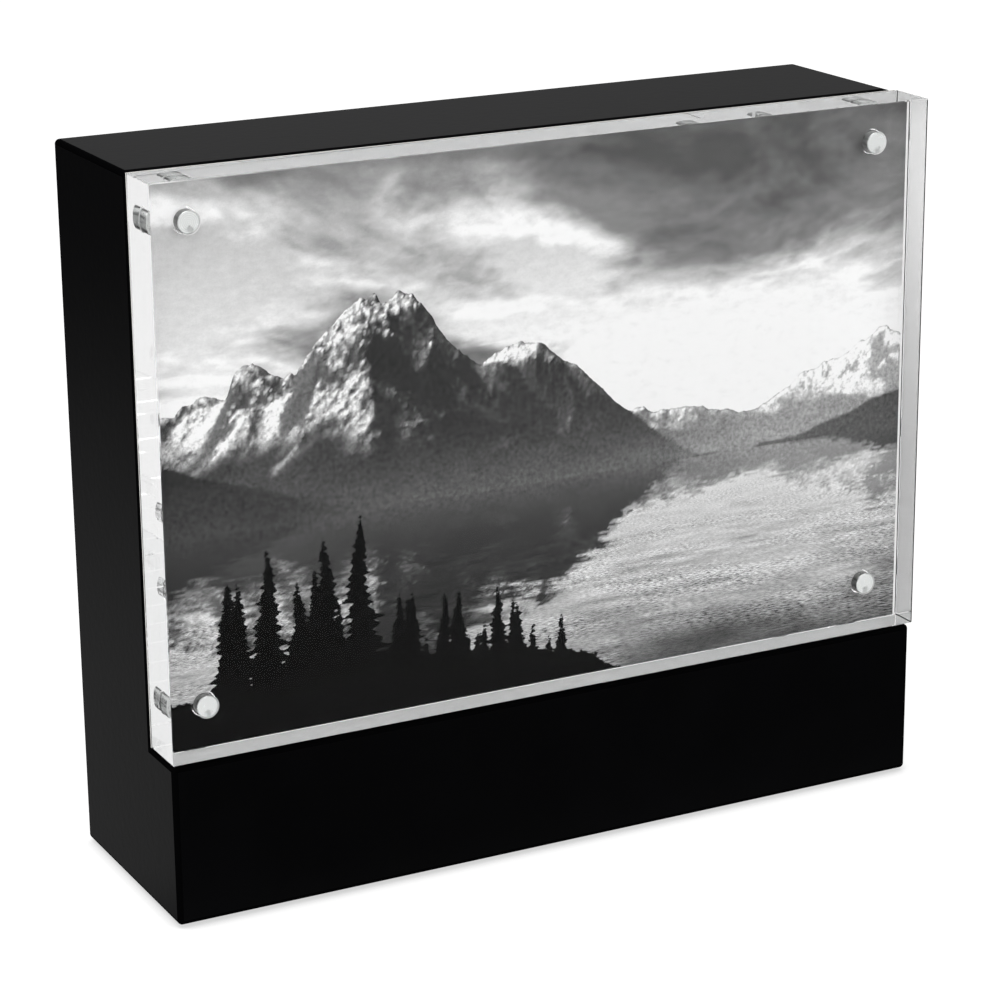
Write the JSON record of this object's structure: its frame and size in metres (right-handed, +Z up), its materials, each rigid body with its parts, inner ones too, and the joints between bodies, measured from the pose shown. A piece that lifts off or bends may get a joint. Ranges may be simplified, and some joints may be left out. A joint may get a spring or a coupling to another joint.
{
  "type": "acrylic block frame",
  "caption": "Free-standing photo block: a clear acrylic panel with corner magnets stands on the ledge of a black painted block and clamps a landscape print.",
  "frame": {"origin": "centre of the bounding box's underside, on the surface that the felt pads rest on", "axes": "+X to the right seen from the front, -Y out of the front of the panel, +Z up"},
  "size_m": [0.1526, 0.0448, 0.132],
  "materials": {
    "painted_board": "black satin lacquer on MDF",
    "acrylic": "clear cast acrylic, polished faces and edges",
    "magnet_nickel": "nickel-plated magnet, satin disc with a bright rim",
    "photo_paper": "glossy black-and-white print, white back",
    "felt": "thin black self-adhesive felt"
  },
  "bodies": {
    "block": {"rear_board": "painted_board", "face_board": "painted_board", "front_rail": "painted_board", "block_magnet_top_left": "magnet_nickel", "block_magnet_top_right": "magnet_nickel", "block_magnet_bottom_left": "magnet_nickel", "block_magnet_bottom_right": "magnet_nickel", "felt_pad_front_left": "felt", "felt_pad_front_right": "felt", "felt_pad_rear_left": "felt", "felt_pad_rear_right": "felt"},
    "panel": {"acrylic_panel": "acrylic", "panel_magnet_top_left": "magnet_nickel", "panel_magnet_top_right": "magnet_nickel", "panel_magnet_bottom_left": "magnet_nickel", "panel_magnet_bottom_right": "magnet_nickel"},
    "print": {"photo_print": "photo_paper"}
  },
  "joints": [
    {"name": "panel_pull", "type": "slide", "parent": "block", "child": "panel", "axis": [0, -1, 0], "range_m": [0, 0.06]},
    {"name": "print_lift", "type": "slide", "parent": "block", "child": "print", "axis": [0, 0, 1], "range_m": [0, 0.105]}
  ]
}
